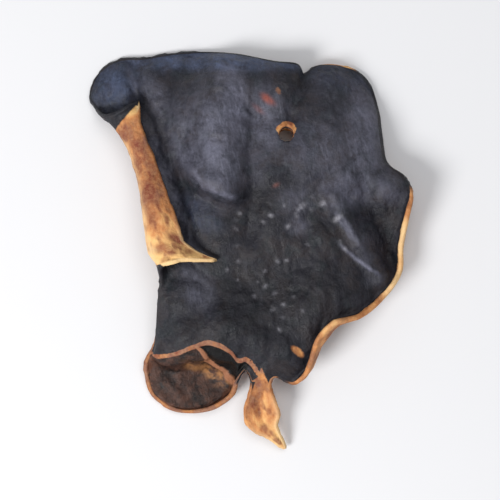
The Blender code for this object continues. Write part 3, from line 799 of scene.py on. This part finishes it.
def build_ear():
    grid, faces, share, depth, past, place, margin, hole = sheet(PER_POINT, BAND_RINGS, CELL)
    big, small = waves(grid, BIG_WAVE, 1), waves(grid, SMALL_WAVE, 2)
    grid[:, 2] += BIG_WAVE_HEIGHT * big + SMALL_WAVE_HEIGHT * small
    half = (THIN_RIM + (THICK - THIN_RIM) * smooth_step(depth / THIN_REACH)) / 2
    grid[:, 2] = half + TABLE_SOFTNESS * np.logaddexp(0, (grid[:, 2] - half) / TABLE_SOFTNESS)
    normal = eased(facing(grid, faces), faces, NORMAL_ROUNDS)
    normal /= np.linalg.norm(normal, axis=1)[:, None]
    plan = grid[:, :2] / UNIT

    glint = soft_spots(plan, all_glints()) * (share == 0)
    lip_gap, ledge = cup_lines(grid, past, place)
    calm = MARGIN_WRINKLES + (1 - MARGIN_WRINKLES) * smooth_step(depth / FULL_WRINKLES_FROM)
    face_height = calm * (wrinkles(grid, FACE_WRINKLES, FACE_SEED) + ridges(plan, CREASES))
    face_height += GLINT_HEIGHT * glint + LIP_HEIGHT * np.exp(-((lip_gap / LIP_WIDTH) ** 2))
    face_height += cup_relief(depth, lip_gap, ledge)
    back_height = calm * wrinkles(grid, BACK_WRINKLES, BACK_SEED)

    top = grid + normal * (half + face_height)[:, None]
    top[:, 2] = np.maximum(top[:, 2], LEAST_TOP)
    low = underside(grid, normal, half + back_height, share)
    line = rim_line(grid[margin], normal[margin])
    mesh = closed_mesh(top, low, line, faces, margin, hole)
    masks = colour_masks(grid, normal, share, depth, place, margin, lip_gap, ledge, glint)
    for name, parts in masks.items():
        layer = mesh.attributes.new(name, "FLOAT", "POINT")
        layer.data.foreach_set("value", np.concatenate(parts).astype(np.float32))
    ear = bpy.data.objects.new("wood_ear_flesh", mesh)
    bpy.context.scene.collection.objects.link(ear)
    return ear


class Tree:
    """Short names for the nodes of a material. Sizes of patterns are in millimetres."""

    def __init__(self, name):
        self.material = bpy.data.materials.new(name)
        self.material.use_nodes = True
        self.tree = self.material.node_tree
        self.shader = self.tree.nodes["Principled BSDF"]
        self.place = self.tree.nodes.new("ShaderNodeTexCoord").outputs["Object"]

    def put(self, value, socket):
        if isinstance(value, bpy.types.NodeSocket):
            self.tree.links.new(value, socket)
        else:
            socket.default_value = value

    def mask(self, name):
        node = self.tree.nodes.new("ShaderNodeAttribute")
        node.attribute_name = name
        return node.outputs["Fac"]

    def pattern(self, size, detail=3.0, rough=0.55, low=0.35, high=0.65, warp=0.0, long=1.0, turn=0.0):
        """Noise with blotches of about this size, spread from 0 at low to 1 at high. They are long times as
        long as wide, along +Y turned by this many degrees."""
        place = self.place
        if long != 1:
            node = self.tree.nodes.new("ShaderNodeMapping")
            node.vector_type = "TEXTURE"
            node.inputs["Rotation"].default_value = (0, 0, np.radians(turn))
            node.inputs["Scale"].default_value = (1, long, 1)
            self.tree.links.new(place, node.inputs["Vector"])
            place = node.outputs["Vector"]
        node = self.tree.nodes.new("ShaderNodeTexNoise")
        node.inputs["Scale"].default_value = 1 / (size * MM)
        node.inputs["Detail"].default_value = detail
        node.inputs["Roughness"].default_value = rough
        node.inputs["Distortion"].default_value = warp
        self.tree.links.new(place, node.inputs["Vector"])
        return self.spread(node.outputs["Fac"], low, high)

    def spread(self, value, low, high):
        node = self.tree.nodes.new("ShaderNodeMapRange")
        node.inputs["From Min"].default_value = low
        node.inputs["From Max"].default_value = high
        self.put(value, node.inputs["Value"])
        return node.outputs["Result"]

    def work(self, kind, a, b):
        node = self.tree.nodes.new("ShaderNodeMath")
        node.operation = kind
        self.put(a, node.inputs[0])
        self.put(b, node.inputs[1])
        return node.outputs[0]

    def plus(self, a, b):
        return self.work("ADD", a, b)

    def minus(self, a, b):
        return self.work("SUBTRACT", a, b)

    def times(self, a, b):
        return self.work("MULTIPLY", a, b)

    def most(self, *values):
        whole = values[0]
        for value in values[1:]:
            whole = self.work("MAXIMUM", whole, value)
        return whole

    def mix(self, share, a, b):
        node = self.tree.nodes.new("ShaderNodeMix")
        node.data_type = "RGBA"
        self.put(share, node.inputs["Factor"])
        for value, number in ((a, 6), (b, 7)):
            self.put(value if isinstance(value, bpy.types.NodeSocket) else (*value, 1), node.inputs[number])
        return node.outputs[2]


def dried_flesh():
    t = Tree("dried_flesh")
    broad = t.pattern(6.0, 2.0)
    mottle = t.pattern(1.5, 4.0, 0.62, 0.36, 0.64, 0.5)
    grain = t.pattern(0.34, 4.0, 0.65, 0.38, 0.70)
    streak = t.pattern(0.42, 3.0, 0.6, 0.50, 0.74, 0.3, 5.0, 8)
    fray = t.minus(t.pattern(0.75, 4.0, 0.65, 0.25, 0.75), 0.5)
    margin = t.mask("margin")

    # The dark face, with its bloom and painted highlights, painted sheen and glints, and the rust on it
    dark = t.mix(broad, NEAR_BLACK, SOFT_BLACK)
    dark = t.mix(t.times(mottle, 0.7), dark, MOTTLE_GREY)
    dark = t.mix(t.times(t.pattern(2.2, 3.0, 0.6, 0.46, 0.60), 0.55), dark, WARM_GREY)
    dark = t.mix(t.times(t.pattern(1.9, 3.0, 0.6, 0.52, 0.64, 0.4), 0.45), dark, COLD_GREY)
    dark = t.mix(t.mask("dark_spots"), dark, DEEP_BLACK)
    dark = t.mix(t.times(grain, 0.35), dark, GRAIN_GREY)
    dark = t.mix(t.times(streak, 0.16), dark, STREAK_GREY)
    veil = t.plus(t.plus(t.times(mottle, 0.5), 0.3), t.plus(t.times(grain, 0.25), t.times(streak, 0.35)))
    # Bloom, partly painted highlight and painted light over shade
    dark = t.mix(t.times(t.mask("bloom_and_highlight"), veil), dark, BLOOM_AND_HIGHLIGHT_GREY)
    # Painted bluish sheen of highlight and reflected haze
    dark = t.mix(t.times(t.mask("blue_sheen"), veil), dark, BLUE_SHEEN_GREY)
    # Painted glints: pale highlights on the small bumps
    dark = t.mix(t.times(t.mask("glint"), t.plus(t.times(grain, 0.6), 0.35)), dark, GLINT_GREY)
    dark = t.mix(t.times(t.mask("rust"), t.plus(t.times(grain, 0.4), 0.6)), dark, RUST_RED)

    # The inside of the cup: brown, with painted light in gold, a pale ledge and painted shadow past it
    hollow = t.mix(mottle, CUP_BLACK, CUP_BROWN)
    hollow = t.mix(t.times(t.pattern(0.9, 3.0, 0.6, 0.46, 0.62), 0.6), hollow, CUP_LIGHT)
    near_ring = t.times(t.spread(margin, 2.2, 0.5), t.pattern(0.8, 3.0, 0.6, 0.42, 0.60))
    hollow = t.mix(t.times(near_ring, 0.7), hollow, CUP_RING)
    # Painted light on the lit right side of the cup
    painted_light_gold = t.times(t.mask("painted_light_gold"), t.pattern(1.0, 2.0, 0.55, 0.42, 0.62, 0.2))
    hollow = t.mix(painted_light_gold, hollow, CUP_PAINTED_LIGHT_GOLD)
    half_ledge = t.times(t.plus(t.times(fray, 0.8), 1.0), LEDGE_WIDTH)
    edge = t.minus(half_ledge, t.work("ABSOLUTE", t.mask("ledge"), 0.0))
    # Painted shadow of the deep gap past the ledge
    hollow = t.mix(t.spread(t.mask("ledge"), 0.0, 0.25), hollow, PAINTED_GAP_SHADOW)
    hollow = t.mix(t.times(t.spread(edge, -0.06, 0.06), 0.9), hollow, LEDGE_TAN)
    dark = t.mix(t.spread(t.plus(t.mask("cup"), t.times(fray, 0.1)), -0.04, 0.04), dark, hollow)

    # The tan of the underside, the strip, the tongue and the rims
    blotch = t.pattern(0.9, 1.5, 0.5, 0.49, 0.64, 0.0, 1.8, 16)
    patch = t.pattern(1.3, 3.0, 0.6, 0.35, 0.65, 0.3, 1.8, 16)
    pale = t.plus(t.mask("pale"), t.times(t.minus(patch, 0.5), 0.8))
    tan = t.mix(t.spread(pale, -0.35, 0.05), PINKISH_BROWN, ORANGE_BROWN)
    tan = t.mix(t.spread(pale, 0.05, 0.45), tan, ORANGE)
    tan = t.mix(t.spread(pale, 0.40, 1.1), tan, YELLOW)
    red = t.times(t.times(blotch, 0.8), t.spread(margin, 0.15, 0.6))
    red = t.most(red, t.times(t.mask("red_marks"), t.plus(t.times(mottle, 0.3), 0.8)))
    tan = t.mix(red, tan, RED_BROWN)
    tan = t.mix(t.times(grain, 0.25), tan, GRAIN_TAN)
    # Paler yellow at the margins, partly painted highlight, and painted highlight on the strip's fold
    pale_edge_and_highlight = t.times(t.spread(margin, 0.45, 0.05), t.spread(t.mask("pale"), 0.35, 0.8))
    pale_edge_and_highlight = t.most(pale_edge_and_highlight, t.times(t.mask("fold"), t.spread(pale, -0.6, 0.6)))
    tan = t.mix(t.times(pale_edge_and_highlight, 0.6), tan, EDGE_YELLOW_AND_HIGHLIGHT)

    # Where the tan shows, which is 1, and where the face does, which is 0
    rim = t.minus(t.times(t.mask("rim_wide"), t.plus(t.times(fray, 1.3), 1.0)), margin)
    half_lip = t.times(t.plus(t.times(fray, 0.5), 1.0), LIP_WIDTH)
    lip = t.minus(half_lip, t.work("ABSOLUTE", t.mask("lip"), 0.0))
    lines = [t.spread(t.plus(rim, -0.03), -0.03, 0.03), t.spread(lip, -0.03, 0.03)]
    for name, rough in (("tongue", 0.15), ("pinhole", 0.25)):
        lines.append(t.spread(t.plus(t.mask(name), t.times(fray, rough)), -0.04, 0.04))
    spots = t.spread(t.plus(t.mask("tan_spots"), t.times(fray, 0.3)), 0.3, 0.75)
    share = t.most(*lines, spots, t.spread(t.plus(t.mask("back"), t.times(fray, 0.3)), 0.35, 0.65))
    t.put(t.mix(share, dark, tan), t.shader.inputs["Base Color"])
    t.put(t.plus(t.plus(t.times(mottle, 0.16), 0.38), t.times(share, 0.18)), t.shader.inputs["Roughness"])
    t.shader.inputs["Specular IOR Level"].default_value = SPECULAR

    height = t.plus(t.pattern(0.3, 5.0, 0.68, 0.2, 0.8), t.times(t.pattern(0.9, 4.0, 0.6), 0.9))
    height = t.plus(height, t.times(streak, 0.5))
    bump = t.tree.nodes.new("ShaderNodeBump")
    bump.inputs["Strength"].default_value = BUMP_STRENGTH
    bump.inputs["Distance"].default_value = BUMP_HEIGHT * MM
    t.put(height, bump.inputs["Height"])
    t.put(bump.outputs["Normal"], t.shader.inputs["Normal"])
    return t.material


def plain(name, colour, rough):
    material = bpy.data.materials.new(name)
    material.use_nodes = True
    shader = material.node_tree.nodes["Principled BSDF"]
    shader.inputs["Base Color"].default_value = (*colour, 1)
    shader.inputs["Roughness"].default_value = rough
    return material


def build_floor():
    side = FLOOR_REACH
    mesh = bpy.data.meshes.new("floor")
    corners = [(-side, -side, 0), (side, -side, 0), (side, side, 0), (-side, side, 0)]
    mesh.from_pydata(corners, [], [(0, 1, 2, 3)])
    floor = bpy.data.objects.new("floor", mesh)
    mesh.materials.append(plain("pale_floor", FLOOR_GREY, FLOOR_ROUGHNESS))
    bpy.context.scene.collection.objects.link(floor)


def lamp(name, place, size, watts):
    light = bpy.data.lights.new(name, "AREA")
    light.shape = "DISK"
    light.size = size
    light.energy = watts
    thing = bpy.data.objects.new(name, light)
    thing.location = place
    thing.rotation_euler = (-Vector(place)).to_track_quat("-Z", "Y").to_euler()
    bpy.context.scene.collection.objects.link(thing)


def build_lights():
    for row in LAMPS:
        lamp(*row)
    world = bpy.data.worlds.new("studio")
    world.use_nodes = True
    world.node_tree.nodes["Background"].inputs[0].default_value = SKY
    world.node_tree.nodes["Background"].inputs[1].default_value = SKY_STRENGTH
    bpy.context.scene.world = world


def build_camera():
    camera = bpy.data.cameras.new("camera")
    camera.lens = camera.sensor_width * CAMERA_HEIGHT / FRAME_SIDE
    camera.clip_start = CLIP_START
    thing = bpy.data.objects.new("camera", camera)
    thing.location = (0, 0, CAMERA_HEIGHT)
    bpy.context.scene.collection.objects.link(thing)
    bpy.context.scene.camera = thing


ear = build_ear()
ear.data.materials.append(dried_flesh())
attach(ear, "root")
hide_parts("wood_ear")
build_floor()
build_lights()
build_camera()
bpy.context.scene.view_settings.view_transform = "Standard"
